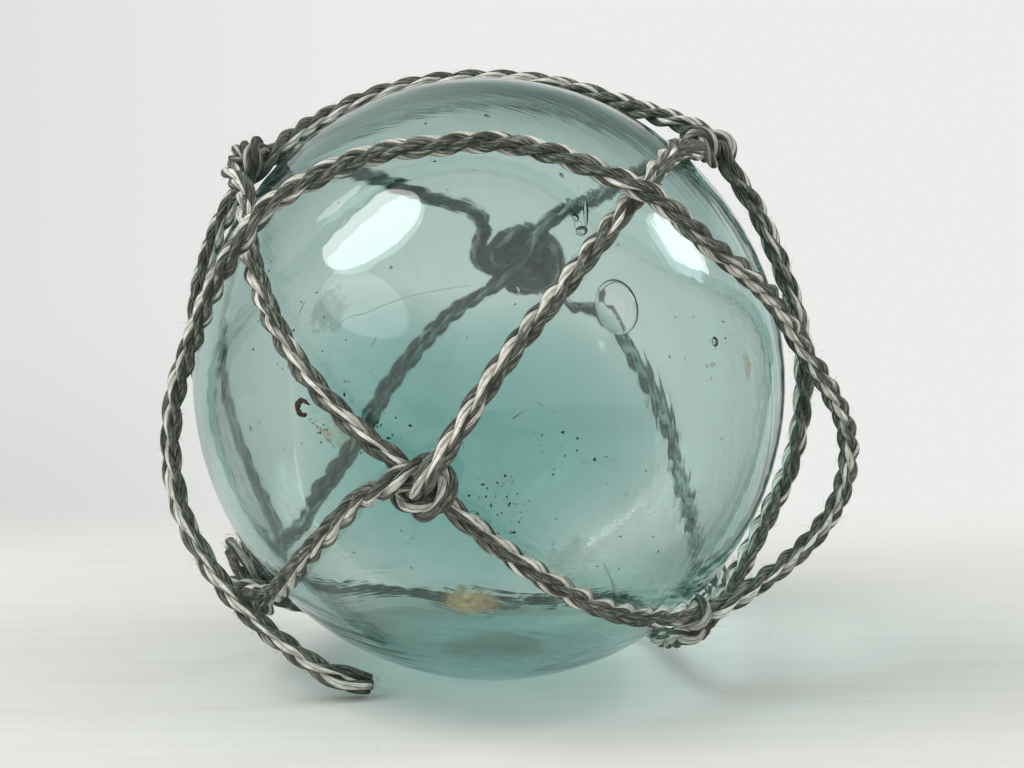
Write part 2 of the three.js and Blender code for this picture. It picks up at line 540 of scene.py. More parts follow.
@dataclass(frozen=True)
class Lump:
    """A smooth oval swelling of the glass: its middle, its half width and half height, its height."""

    at: tuple[float, float]
    half_width: float
    half_height: float
    height: float
    flatness: float = 2.0
    edge: float = 2.0
    uneven: float = 0.0

    def share(self, direction: np.ndarray, radius: float) -> np.ndarray:
        """Gives the share of its height in each direction.

        Args:
            direction: Unit vectors from the ball's centre.
            radius: The ball's radius.

        Returns:
            1 in its middle, falling to 0 at its edge.
        """
        middle = heading(*self.at)
        right = unit(np.cross(middle, (0.0, 0.0, 1.0)))
        up = np.cross(right, middle)
        away = np.arccos(np.clip(direction @ middle, -1, 1)) * radius
        round_it = np.arctan2(direction @ up, direction @ right)
        reach = 1 / np.hypot(np.cos(round_it) / self.half_width, np.sin(round_it) / self.half_height)
        reach = reach * (1 + self.uneven * (np.sin(3 * round_it + 0.7) + 0.6 * np.sin(5 * round_it + 2.1)))
        off = np.minimum(away / reach, 1)
        return (1 - off ** self.flatness) ** self.edge


@dataclass
class GlassBall:
    """The blown ball: an egg tipped to the left, with the seal behind and thick glass low at the back."""

    width: float = 0.0758
    length: float = 0.0774
    lean: float = 18.4
    rest_spot: float = 0.0075
    wall: float = 0.0021
    seal: Lump = Lump((158.0, 6.0), 0.009, 0.009, 0.0012)
    gather: Lump = Lump((-173.5, -25.0), 0.034, 0.028, 0.0079, flatness=2.8, edge=1.35, uneven=0.09)
    blister: tuple[float, float] = (24.0, 19.0)
    blister_size: tuple[float, float, float] = (0.0053, 0.0064, 0.0007)
    seeds: int = 90
    finish: SeaGlass = field(default_factory=SeaGlass)

    def __post_init__(self) -> None:
        """Works out where the ball's centre stands."""
        self.long_axis = heading(-90, 90 - self.lean)
        drop = float(self.skin(np.array([0.0, 0.0, -1.0])))
        self.centre = np.array([0.0, 0.0, math.sqrt(drop ** 2 - self.rest_spot ** 2)])

    def skin(self, direction: np.ndarray) -> np.ndarray:
        """Gives how far the glass reaches from its centre.

        Args:
            direction: Unit vectors.

        Returns:
            The reach in each direction.
        """
        along = (direction @ self.long_axis) ** 2
        egg = 1 / np.sqrt((1 - along) / (self.width / 2) ** 2 + along / (self.length / 2) ** 2)
        return egg + self.seal.height * self.seal.share(direction, self.width / 2)

    def build(self) -> bpy.types.Object:
        """Blows the ball, seals it and gives it its wall and its bubbles.

        Returns:
            The piece.
        """
        bpy.ops.object.select_all(action="DESELECT")
        bpy.ops.mesh.primitive_ico_sphere_add(subdivisions=7, radius=self.width / 2, location=(0, 0, 0))
        ball = bpy.context.object
        ball.name = ball.data.name = "blown_glass"
        bpy.ops.object.mode_set(mode="EDIT")
        bpy.ops.mesh.select_all(action="SELECT")
        bpy.ops.transform.resize(value=(1, 1, self.length / self.width), center_override=(0, 0, 0))
        bpy.ops.object.mode_set(mode="OBJECT")
        ball.rotation_euler = (0, -math.radians(self.lean), 0)
        Modelling.place(ball)
        directions = unit(Modelling.corners(ball))
        Modelling.weigh(ball, "seal", self.seal.share(directions, self.width / 2))
        Modelling.apply(ball, "DISPLACE", vertex_group="seal", mid_level=0.0, strength=self.seal.height)
        ball.location = self.centre
        Modelling.place(ball)
        bpy.ops.object.mode_set(mode="EDIT")
        bpy.ops.mesh.select_all(action="DESELECT")
        bpy.ops.object.mode_set(mode="OBJECT")
        ball.data.vertices.foreach_set("select", Modelling.corners(ball)[:, 2] < 0)
        bpy.ops.object.mode_set(mode="EDIT")
        bpy.ops.transform.resize(value=(1, 1, 0), center_override=(0, 0, 0))
        bpy.ops.mesh.select_all(action="SELECT")
        bpy.ops.mesh.normals_make_consistent(inside=False)
        bpy.ops.object.mode_set(mode="OBJECT")
        self._hollow(ball)
        bubbles = self._bubbles()
        Modelling.only(ball)
        for bubble in bubbles:
            bubble.select_set(True)
        bpy.ops.object.join()
        bpy.ops.object.shade_smooth()
        ball.data.materials.clear()
        ball.data.materials.append(self.finish.material(self))
        return ball

    def _hollow(self, ball: bpy.types.Object) -> None:
        """Gives the ball its wall, thicker at the gather.

        Args:
            ball: The ball, still solid.
        """
        directions = unit(Modelling.corners(ball) - self.centre)
        thick = self.wall + self.gather.height * self.gather.share(directions, self.width / 2)
        most = float(thick.max())
        Modelling.weigh(ball, "wall", thick / most)
        Modelling.apply(ball, "SOLIDIFY", thickness=most, offset=-1.0, vertex_group="wall")

    def _bubble(self, at: tuple[float, float], size: tuple[float, float, float], turn: float,
                fine: int) -> bpy.types.Object:
        """Makes one bubble in the middle of the wall.

        Args:
            at: Its heading.
            size: How wide, high and deep it is.
            turn: How far it is turned, in radians.
            fine: How finely it is divided.

        Returns:
            The bubble, its faces turned inwards.
        """
        direction = heading(*at)
        place = self.centre + direction * (self.skin(direction) - self.wall / 2)
        bpy.ops.object.select_all(action="DESELECT")
        bpy.ops.mesh.primitive_ico_sphere_add(subdivisions=fine, radius=0.5, location=(0, 0, 0))
        bubble = bpy.context.object
        bpy.ops.object.mode_set(mode="EDIT")
        bpy.ops.mesh.select_all(action="SELECT")
        bpy.ops.mesh.flip_normals()
        bpy.ops.object.mode_set(mode="OBJECT")
        stand = Vector(direction).to_track_quat("Z", "Y").to_matrix().to_4x4()
        bubble.matrix_world = (Matrix.Translation(place) @ stand @ Matrix.Rotation(turn, 4, "Z")
                               @ Matrix.Diagonal((*size, 1.0)))
        Modelling.place(bubble)
        return bubble

    def _bubbles(self) -> list[bpy.types.Object]:
        """Makes the blister, a few drawn bubbles and the fine seeds, all inside the wall.

        Returns:
            The bubbles.
        """
        made = [self._bubble(self.blister, self.blister_size, 0.0, 5),
                self._bubble((45.6, 11.6), (0.0011, 0.0012, 0.0009), 0.0, 3),
                self._bubble((19.5, 33.3), (0.0016, 0.0012, 0.0007), 0.5, 3),
                self._bubble((18.8, 36.0), (0.0009, 0.0011, 0.0006), 0.0, 3),
                self._bubble((21.5, 37.0), (0.0006, 0.0042, 0.0004), -0.25, 3)]
        draw = np.random.default_rng(8)
        for _ in range(self.seeds):
            at = (draw.uniform(-180, 180), math.degrees(math.asin(draw.uniform(-0.9, 0.9))))
            size = 0.00014 + 0.0004 * draw.random() ** 3
            long = size * draw.uniform(1, 2.4)
            made.append(self._bubble(at, (size, long, size), draw.uniform(0, math.pi), 2))
        return made


class Knot(Enum):
    """The net's six knots by heading."""

    FRONT = (-11, -10)
    UPPER_RIGHT = (86, 48)
    UPPER_LEFT = (-84, 43)
    LOWER_RIGHT = (57, -42)
    LOWER_LEFT = (-84, -42)
    BACK = (172, 20)


@dataclass(frozen=True)
class Leg:
    """One stretch of twine between two knots, lying on or over the other twine at its ends."""

    ends: tuple[Knot, Knot]
    over: tuple[int, int]
    bends: tuple[tuple[float, ...], ...]

    def backwards(self) -> Leg:
        """Gives the same leg from its far end."""
        return Leg(self.ends[::-1], self.over[::-1], self.bends[::-1])


LEGS = (
    Leg((Knot.FRONT, Knot.UPPER_RIGHT), (1, 0), ((2.5, 10), (16, 25), (35, 39.5), (58, 48))),
    Leg((Knot.FRONT, Knot.UPPER_LEFT), (0, 1), ((-25, 1), (-37, 12), (-51, 25.5), (-68, 37))),
    Leg((Knot.FRONT, Knot.LOWER_RIGHT), (0, 0), ((7, -25.5), (29, -37.5))),
    Leg((Knot.FRONT, Knot.LOWER_LEFT), (1, 1), ((-23, -14), (-37, -26), (-58, -38))),
    Leg((Knot.UPPER_LEFT, Knot.UPPER_RIGHT), (0, 1), ((-104, 57), (-130, 70), (165, 75), (113, 64))),
    Leg((Knot.UPPER_RIGHT, Knot.LOWER_RIGHT), (1, 1),
        ((88, 30, 0.4), (90, 8, 0.5), (88, -12, 0.4), (79, -30))),
    Leg((Knot.UPPER_LEFT, Knot.LOWER_LEFT), (0, 0), ((-94, 22), (-101, 2), (-107, -20), (-104, -36))),
    Leg((Knot.LOWER_RIGHT, Knot.LOWER_LEFT), (1, 0), ((72, -54), (128, -58), (-150, -58), (-104, -52))),
    Leg((Knot.BACK, Knot.UPPER_LEFT), (1, 1), ((-178, 31), (-160, 38), (-128, 46))),
    Leg((Knot.BACK, Knot.UPPER_RIGHT), (0, 0), ((164, 31), (148, 38), (116, 48))),
    Leg((Knot.BACK, Knot.LOWER_LEFT), (0, 1), ((-171, 6), (-157, -8), (-144, -24), (-116, -37))),
    Leg((Knot.BACK, Knot.LOWER_RIGHT), (1, 0), ((154, 8), (141, -10), (118, -33), (88, -42))),
)


class StrandMesh:
    """Gathers twisted strands as plain mesh data, with a yarn map and a number for each strand."""

    def __init__(self) -> None:
        """Starts with nothing."""
        self.points: list[np.ndarray] = []
        self.faces: list[np.ndarray] = []
        self.maps: list[np.ndarray] = []
        self.strands: list[np.ndarray] = []
        self.cuts: list[np.ndarray] = []
        self.count = 0

    def tube(self, rings: np.ndarray, turn: np.ndarray, along: np.ndarray, strand: float,
             closed: bool, cut_end: np.ndarray) -> None:
        """Adds one tube.

        Args:
            rings: Its points, one row of sides for each ring.
            turn: The yarn angle in turns at each point, with one more column than rings has sides.
            along: The distance along the twine at each ring.
            strand: The strand's number.
            closed: Whether the last ring joins the first.
            cut_end: How dark the soiled cut end is at each ring, from 0 to 1.
        """
        count, sides, _ = rings.shape
        rows = np.arange(count if closed else count - 1)
        after = (rows + 1) % count
        columns = np.arange(sides)
        beside = (columns + 1) % sides
        corner = self.count + np.stack([
            rows[:, None] * sides + columns, rows[:, None] * sides + beside,
            after[:, None] * sides + beside, after[:, None] * sides + columns], axis=-1)
        step = turn[1] - turn[0] if count > 1 else 0
        last = np.vstack([turn[1:], turn[-1:] + step])
        gap = along[1] - along[0]
        end = np.append(along[1:], along[-1] + gap)
        u = np.stack([turn[rows][:, :-1], turn[rows][:, 1:], last[rows][:, 1:], last[rows][:, :-1]], axis=-1)
        v = np.stack([along[rows]] * 2 + [end[rows]] * 2, axis=-1)[:, None, :].repeat(sides, axis=1)
        self.points.append(rings.reshape(-1, 3))
        self.faces.append(corner.reshape(-1, 4))
        self.maps.append(np.stack([u, v], axis=-1).reshape(-1, 4, 2))
        self.strands.append(np.full(count * sides, strand))
        self.cuts.append(np.repeat(cut_end, sides))
        self.count += count * sides
        if not closed:
            self._cap(rings, turn, along, strand, cut_end)

    def _cap(self, rings: np.ndarray, turn: np.ndarray, along: np.ndarray, strand: float,
             cut_end: np.ndarray) -> None:
        """Closes both ends of the tube that was added last.

        Args:
            rings: Its points, one row of sides for each ring.
            turn: The yarn angle in turns at each point.
            along: The distance along the twine at each ring.
            strand: The strand's number.
            cut_end: How dark the soiled cut end is at each ring.
        """
        count, sides, _ = rings.shape
        base = self.count - count * sides
        for ring, order in ((0, -1), (count - 1, 1)):
            middle = rings[ring].mean(axis=0)
            self.points.append(middle[None])
            self.strands.append(np.full(1, strand))
            self.cuts.append(cut_end[ring:][:1])
            columns = np.arange(sides)
            edge = base + ring * sides + np.stack([columns, (columns + 1) % sides], axis=-1)[:, ::order]
            centre = np.full((sides, 1), self.count)
            self.faces.append(np.hstack([edge, centre]))
            u = np.stack([turn[ring][:-1], turn[ring][1:]], axis=-1)[:, ::order]
            u = np.hstack([u, u[:, :1]])
            v = np.full_like(u, along[ring])
            self.maps.append(np.stack([u, v], axis=-1))
            self.count += 1

    def build(self, name: str, material: bpy.types.Material) -> bpy.types.Object:
        """Makes the object.

        Args:
            name: The piece's name.
            material: Its finish.

        Returns:
            The piece, smooth shaded.
        """
        mesh = bpy.data.meshes.new(name)
        faces = [face for block in self.faces for face in block.tolist()]
        mesh.from_pydata(np.vstack(self.points).tolist(), [], faces)
        flat = np.concatenate([block.reshape(-1) for block in self.maps])
        mesh.uv_layers.new(name="yarns").data.foreach_set("uv", flat)
        for key, values in (("strand", self.strands), ("cut_end", self.cuts)):
            mesh.attributes.new(key, "FLOAT", "POINT").data.foreach_set("value", np.concatenate(values))
        mesh.shade_smooth()
        return finished(mesh, material)


@dataclass
class Twine:
    """Three-strand twine, laid left-handed from strands whose yarns turn a little the other way."""

    diameter: float = 0.0027
    strand_radius: float = 0.00066
    lay: float = 0.0117
    spin: float = 0.93
    sides: int = 14
    step: float = 0.0005
    cut_length: float = 0.0075

    @property
    def middle(self) -> float:
        """Gives how far the strands' middles are from the twine's."""
        return self.diameter / 2 - self.strand_radius

    def frames(self, line: np.ndarray, closed: bool) -> tuple[np.ndarray, np.ndarray]:
        """Gives two directions across a line at each of its points, carried along without twist.

        Args:
            line: Points evenly spaced.
            closed: Whether the last point joins the first.

        Returns:
            The two directions, square to each other and to the line.
        """
        if closed:
            ahead = unit(np.roll(line, -1, axis=0) - np.roll(line, 1, axis=0))
        else:
            ahead = unit(np.gradient(line, axis=0))
        side = np.empty_like(line)
        start = np.cross(ahead[0], (0.0, 0.0, 1.0))
        if np.linalg.norm(start) < 0.1:
            start = np.cross(ahead[0], (0.0, 1.0, 0.0))
        side[0] = unit(start)
        for i in range(1, len(line)):
            carried = side[i - 1] - ahead[i] * (side[i - 1] @ ahead[i])
            side[i] = carried / np.linalg.norm(carried)
        other = np.cross(ahead, side)
        if closed:
            back = side[-1] - ahead[0] * (side[-1] @ ahead[0])
            miss = math.atan2(back @ other[0], back @ side[0])
            turn = -miss * np.arange(len(line)) / len(line)
            cos, sin = np.cos(turn)[:, None], np.sin(turn)[:, None]
            side, other = side * cos + other * sin, other * cos - side * sin
        return side, other

    def lay_up(self, mesh: StrandMesh, line: np.ndarray, closed: bool = False, number: int = 0,
               slim: float = 1.0, lay: tuple[tuple[float, float], ...] = (), swell: float = 0.0,
               splay: float = 0.0, soil: Any = 0.0) -> np.ndarray:
        """Lays strands along a line.

        Args:
            mesh: What the strands are added to.
            line: The twine's middle line.
            closed: Whether the line is a closed ring.
            number: Which twine this is, which shifts its strands and their wear.
            slim: The share of its diameter that the twine is pulled down to.
            lay: Places along the line, from 0 to 1, and the length of lay at each.
            swell: How far the opened strands bulge before a cut far end, as a share of the diameter.
            splay: How far they stand apart at that end, as a share of the diameter.
            soil: How dark it is soiled, from 0 to 1, or a function that tells this at each point.

        Returns:
            The middle line as evenly spaced points.
        """
        line = evenly(line, self.step, closed)
        side, other = self.frames(line, closed)
        gaps = np.linalg.norm(np.diff(line, axis=0), axis=1)
        along = np.concatenate([[0], np.cumsum(gaps)])
        ahead = self.step if closed else 0.0
        whole = along[-1] + ahead
        places, lengths = zip(*(lay or ((0.0, self.lay),)))
        each = np.interp(along / whole, places, lengths)
        each = each * (1 + 0.13 * wander(along, 0.016, 40 + number, closed))
        open_end = np.clip(1 - (whole - along) / self.cut_length, 0, 1) if swell else 0 * along
        rate = (1 - open_end) / each
        turns = np.concatenate([[0], np.cumsum(rate[:-1] * gaps)])
        all_turns = turns[-1] + rate[-1] * ahead
        spins = self.spin * turns
        if closed:
            spins = spins * round(self.spin * all_turns) / (self.spin * all_turns)
            turns = turns * round(all_turns) / all_turns
        soiled = soil(line) if callable(soil) else soil
        if swell:
            soiled = np.maximum(soiled, np.clip(1 - (whole - along) / 0.0013, 0, 1))
        bulge = (np.sin(math.pi * open_end ** 1.2) * swell + open_end ** 2 * splay) * self.diameter
        around = np.arange(self.sides + 1) / self.sides
        for k in range(3):
            seed = 10 * number + k
            lie = -turns + k / 3 + 0.13 * number + 0.02 * wander(along, 0.006, seed, closed)
            apart = (slim * self.middle + bulge) * (1 + 0.06 * wander(along, 0.005, 300 + seed, closed))
            fat = 1 + 0.05 * wander(along, 0.004, 600 + seed, closed) + 0.25 * bulge / self.diameter
            out = np.cos(2 * math.pi * lie)[:, None] * side + np.sin(2 * math.pi * lie)[:, None] * other
            middle = line + apart[:, None] * out
            face = lie[:, None] + around[None, :]
            sway = 0.05 * wander(along, 0.01, 900 + seed, closed) + 0.09 * wander(along, 0.03, number, closed)
            yarn = face - spins[:, None] + sway[:, None] + k / 3 + 0.21 * number
            flat = 1 - 0.07 * (0.5 - 0.5 * np.cos(4 * math.pi * around[:-1]))[None]
            reach = slim * self.strand_radius * fat[:, None] * flat
            angle = 2 * math.pi * face[:, :-1]
            rings = (middle[:, None] + (reach * np.cos(angle))[..., None] * side[:, None]
                     + (reach * np.sin(angle))[..., None] * other[:, None])
            mesh.tube(rings, yarn, along, 0.31 * k + 0.17 * number, closed, soiled + 0 * along)
        return line


@dataclass(frozen=True)
class Stub:
    """A short cut end that stands out of a knot: its direction, its length in twine diameters, how
    far it is pulled slim, how far its strands have come apart, how soiled it is and its loose hairs."""

    knot: Knot
    towards: tuple[float, float, float]
    length: float
    slim: float = 0.82
    splay: float = 0.0
    soil: float = 0.25
    hairs: int = 0


class Net:
    """The knotted net: three closed rings of twine that cross in six knots, and the knots' short ends."""

    # How the upper twine is tied round the lower one, which runs up and down here: to the right, up
    # and off the glass, in twine diameters. It comes from the left, goes round below and tucks under
    # itself, and comes up through the middle.
    TIED = ((-1.25, 1.1, 1.0), (-0.05, 0.95, 0.95), (0.8, 0.68, 0.45), (1.24, 0.0, 0.15),
            (1.05, -0.68, 0.4), (0.34, -1.02, 0.95), (-0.52, -0.84, 0.9), (-1.06, -0.25, 0.3),
            (-1.22, 0.4, 0.0), (-0.8, 0.7, 0.0), (-0.35, 0.28, 0.5), (0.3, 0.06, 1.2),
            (1.22, 0.29, 1.5), (2.36, 0.49, 0.7))
    # How wide each knot is drawn: some are pulled tight, and the closing knot at the back is wide
    SIZES = {Knot.FRONT: 0.86, Knot.UPPER_RIGHT: 0.6, Knot.UPPER_LEFT: 0.62, Knot.LOWER_RIGHT: 0.42,
             Knot.LOWER_LEFT: 0.75, Knot.BACK: 1.5}
    # How dark each knot is soiled, and how far from its middle
    SOIL = {Knot.FRONT: 0.3, Knot.UPPER_RIGHT: 0.5, Knot.UPPER_LEFT: 0.5, Knot.LOWER_RIGHT: 0.4,
            Knot.LOWER_LEFT: 0.6, Knot.BACK: 0.7}
    SOIL_REACH = 0.0034
    # How deep in its knot a cut end starts
    HIDDEN = 0.0024
    STUBS = (Stub(Knot.UPPER_LEFT, (-0.95, -0.1, -0.05), 0.15, 0.9),
             Stub(Knot.UPPER_LEFT, (0.45, 0.2, 0.9), -0.1, 0.8),
             Stub(Knot.LOWER_LEFT, (-0.5, 0.3, 0.8), 1.7, 0.95, 0.3, 0.55, 520),
             Stub(Knot.LOWER_RIGHT, (0.6, -0.3, -0.6), -0.2))

    def __init__(self, ball: GlassBall, twine: Twine) -> None:
        """Starts a net.

        Args:
            ball: The ball that it lies on.
            twine: The twine that it is made of.
        """
        self.ball = ball
        self.twine = twine
        self.clearance = 0.00012
        self.lines: list[np.ndarray] = []
        # The frayed ends: the last part of each line, and how many hairs stand out of it
        self.ends: list[tuple[np.ndarray, int]] = []

    def lying(self, direction: np.ndarray, lift: float | np.ndarray = 0.0) -> np.ndarray:
        """Gives points of the twine's middle line where it lies on the glass.

        Args:
            direction: The directions from the ball's centre.
            lift: How much higher they are, in twine diameters.

        Returns:
            The points.
        """
        lift = np.asarray(lift) * self.twine.diameter
        reach = self.ball.skin(direction) + self.clearance + self.twine.diameter / 2 + lift
        return self.ball.centre + direction * np.expand_dims(reach, -1)

    def clear_of_glass(self, line: np.ndarray) -> np.ndarray:
        """Raises what would sink into the glass.

        Args:
            line: A middle line.

        Returns:
            The same line, nowhere nearer than where twine lies on the glass.
        """
        from_centre = line - self.ball.centre
        direction = unit(from_centre)
        least = self.lying(direction)
        sunk = np.linalg.norm(from_centre, axis=1) < np.linalg.norm(least - self.ball.centre, axis=1)
        return np.where(sunk[:, None], least, line)

    def clear_by(self, points: np.ndarray, gap: float) -> np.ndarray:
        """Raises points that would come too near to the glass.

        Args:
            points: The points.
            gap: How near they may come.

        Returns:
            The points, raised.
        """
        from_centre = points - self.ball.centre
        direction = unit(from_centre)
        reach = np.maximum(np.linalg.norm(from_centre, axis=1), self.ball.skin(direction) + gap)
        return self.ball.centre + direction * reach[:, None]

    def rings(self) -> list[list[Leg]]:
        """Follows the legs through their knots.

        Returns:
            The legs of each closed ring, in order.
        """
        left = list(LEGS)
        rings = []
        while left:
            ring = [left.pop(0)]
            while True:
                here, level = ring[-1].ends[1], ring[-1].over[1]
                both = [way for one in left for way in (one, one.backwards())]
                onward = [way for way in both if way.ends[0] is here and way.over[0] == level]
                if not onward:
                    break
                ring.append(onward[0])
                left = [one for one in left if one not in (onward[0], onward[0].backwards())]
            rings.append(ring)
        return rings

    def tied(self, knot: Knot, along: np.ndarray) -> np.ndarray:
        """Ties the upper twine of a knot round the lower one.

        Args:
            knot: The knot.
            along: The direction in which the upper twine goes on.

        Returns:
            The points of its middle line.
        """
        out = heading(*knot.value)
        ahead = unit(along - out * (along @ out))
        up = np.cross(out, ahead)
        size = self.SIZES[knot]
        right, upward, lift = np.array(self.TIED).T
        flat = (ahead[None] * right[:, None] + up[None] * upward[:, None]) * self.twine.diameter * size
        return self.lying(unit(out[None] * self.ball.width / 2 + flat), lift * min(1.0, 0.45 + 0.6 * size))

    def path(self, ring: list[Leg]) -> np.ndarray:
        """Draws a closed ring.

        Args:
            ring: Its legs, in order.

        Returns:
            Its middle line.
        """
        points = []
        for before, leg in zip(ring[-1:] + ring[:-1], ring):
            knot, level = leg.ends[0], leg.over[0]
            if level:
                points += list(self.tied(knot, heading(*leg.bends[0][:2]) - heading(*before.bends[-1][:2])))
            else:
                points.append(self.lying(heading(*knot.value)))
            for bend in leg.bends:
                points.append(self.lying(heading(*bend[:2]), bend[2] if len(bend) > 2 else 0.0))
        return self.settled(np.array(points), closed=True)

    def settled(self, points: np.ndarray, closed: bool) -> np.ndarray:
        """Lays a smooth line through points and on the glass.

        Args:
            points: The points.
            closed: Whether the last joins the first.

        Returns:
            The line, in even steps.
        """
        line = evenly(smooth_line(points, closed), self.twine.step, closed)
        line = softened(self.clear_of_glass(line), 4, closed)
        return self.clear_of_glass(line)

    def soiled(self, line: np.ndarray) -> np.ndarray:
        """Tells how dark the twine is soiled, which is most near the knots.

        Args:
            line: A middle line.

        Returns:
            The soil at each of its points, from 0 to 1.
        """
        worst = np.zeros(len(line))
        for knot, most in self.SOIL.items():
            gone = np.linalg.norm(line - self.lying(heading(*knot.value), 0.4), axis=1)
            worst = np.maximum(worst, most * np.exp(-(gone / self.SOIL_REACH) ** 4))
        return worst

    def _turns(self, mesh: StrandMesh, knot: Knot, turns: tuple[tuple[float, ...], ...],
               first: int) -> None:
        """Adds further turns to a knot.

        Args:
            mesh: Where they are added.
            knot: The knot.
            turns: The reach, lift, tip and drop of each, in twine diameters, the tip in radians.
            first: The number of the first one's twine.
        """
        out = heading(*knot.value)
        middle = self.lying(out, 0.6 if knot is Knot.BACK else 0.25)
        right = unit(np.cross(out, (0.0, 0.0, 1.0)))
        up = np.cross(right, out)
        angle = np.linspace(0, 2 * math.pi, 14, endpoint=False)[:, None]
        for number, (reach, lift, tip, drop) in enumerate(turns, first):
            wave = np.sin(angle * 2 + tip) * 0.25
            line = (middle + self.twine.diameter * (reach * np.cos(angle) * right
                    + (reach * 0.95 * np.sin(angle) + drop) * up + (lift + wave) * out))
            line = self.settled(line, closed=True)
            self.twine.lay_up(mesh, line, closed=True, number=number, soil=0.7)

    def _stub(self, mesh: StrandMesh, stub: Stub, number: int) -> None:
        """Adds a short cut end.

        Args:
            mesh: Where it is added.
            stub: The cut end.
            number: The number of its twine.
        """
        out = heading(*stub.knot.value)
        start = self.lying(out, 0.35)
        towards = unit(np.array(stub.towards))
        reach = self.HIDDEN + stub.length * self.twine.diameter
        steps = np.array((0.0, 0.3, 0.6, 0.85, 1.0))[:, None]
        bend = np.cross(towards, out) * 0.12 * reach * np.sin(steps * 4)
        line = smooth_line(start + towards * reach * steps + bend, closed=False)
        line = self.twine.lay_up(mesh, line, number=number, slim=stub.slim, swell=0.06,
                                 splay=stub.splay, soil=stub.soil)
        self.lines.append(line)
        if stub.hairs:
            self.ends.append((line[len(line) // 2:], stub.hairs))

    def build(self) -> bpy.types.Object:
        """Ties the net.

        Returns:
            The piece.
        """
        mesh = StrandMesh()
        for number, ring in enumerate(self.rings()):
            line = self.twine.lay_up(mesh, self.path(ring), closed=True, number=number, soil=self.soiled)
            self.lines.append(line)
        self._turns(mesh, Knot.BACK, ((1.75, 0.0, 0.2, 0.0), (1.3, 0.7, -0.5, -0.45), (0.6, 0.2, 0.9, 0.1),
                                      (1.2, 0.1, 1.9, -0.9)), 17)
        self._turns(mesh, Knot.FRONT, ((0.42, 0.0, 0.3, 0.0),), 23)
        for number, stub in enumerate(self.STUBS):
            self._stub(mesh, stub, 25 + number)
        return mesh.build("knotted_net", OldTwine().material())


class LooseCord:
    """The net's long free end, from its knot at the lower right over the front to the floor."""

    ROUTE = (
        (0.0299, -0.0169, 0.0126), (0.0334, -0.0152, 0.0145), (0.0370, -0.0133, 0.0166),
        (0.0407, -0.0115, 0.0196), (0.0438, -0.0098, 0.0237), (0.0451, -0.0092, 0.0285),
        (0.0446, -0.0092, 0.0332), (0.0427, -0.0099, 0.0371), (0.0402, -0.0110, 0.041),
        (0.0376, -0.0128, 0.0446), (0.0345, -0.0166, 0.0492), (0.0303, -0.0223, 0.0529),
        (0.0246, -0.0278, 0.0572), (0.0190, -0.0299, 0.062), (0.0131, -0.0295, 0.0648),
        (0.0063, -0.0274, 0.0674), (-0.0008, -0.0261, 0.0684), (-0.0073, -0.0257, 0.0678),
        (-0.0134, -0.0251, 0.067), (-0.0196, -0.0261, 0.0645), (-0.0251, -0.0265, 0.0612),
        (-0.0280, -0.0263, 0.0578), (-0.0311, -0.0238, 0.0535), (-0.0338, -0.0205, 0.0485),
        (-0.0363, -0.0166, 0.0433), (-0.0384, -0.0139, 0.0379), (-0.0392, -0.0128, 0.0328),
        (-0.0391, -0.0128, 0.0282), (-0.0381, -0.0135, 0.0235), (-0.0360, -0.0147, 0.0192),
        (-0.0328, -0.0162, 0.0146), (-0.0290, -0.0172, 0.0107), (-0.0250, -0.0174, 0.0073),
        (-0.0211, -0.0170, 0.0043), (-0.0177, -0.0160, 0.0024), (-0.0147, -0.0152, 0.00165),
    )

    # Where it comes out of its knot, before its own route
    ROOT = ((0.0252, -0.0163, 0.0108), (0.0276, -0.0168, 0.0114))
    LAY = ((0.0, 0.0092), (0.2, 0.0092), (0.3, 0.0115), (1.0, 0.0118))

    def __init__(self, net: Net) -> None:
        """Takes the net whose end this is."""
        self.net = net
        self.twine = Twine(step=0.0004, sides=16)

    def build(self) -> bpy.types.Object:
        """Returns:
            The piece.
        """
        mesh = StrandMesh()
        line = self.net.settled(np.array(self.ROOT + self.ROUTE), closed=False)
        line = self.twine.lay_up(mesh, line, number=1, lay=self.LAY, swell=0.16)
        self.net.lines.append(line)
        self.net.ends.append((line[-3:], 70))
        piece = mesh.build("draped_cord", OldTwine().material())
        return piece


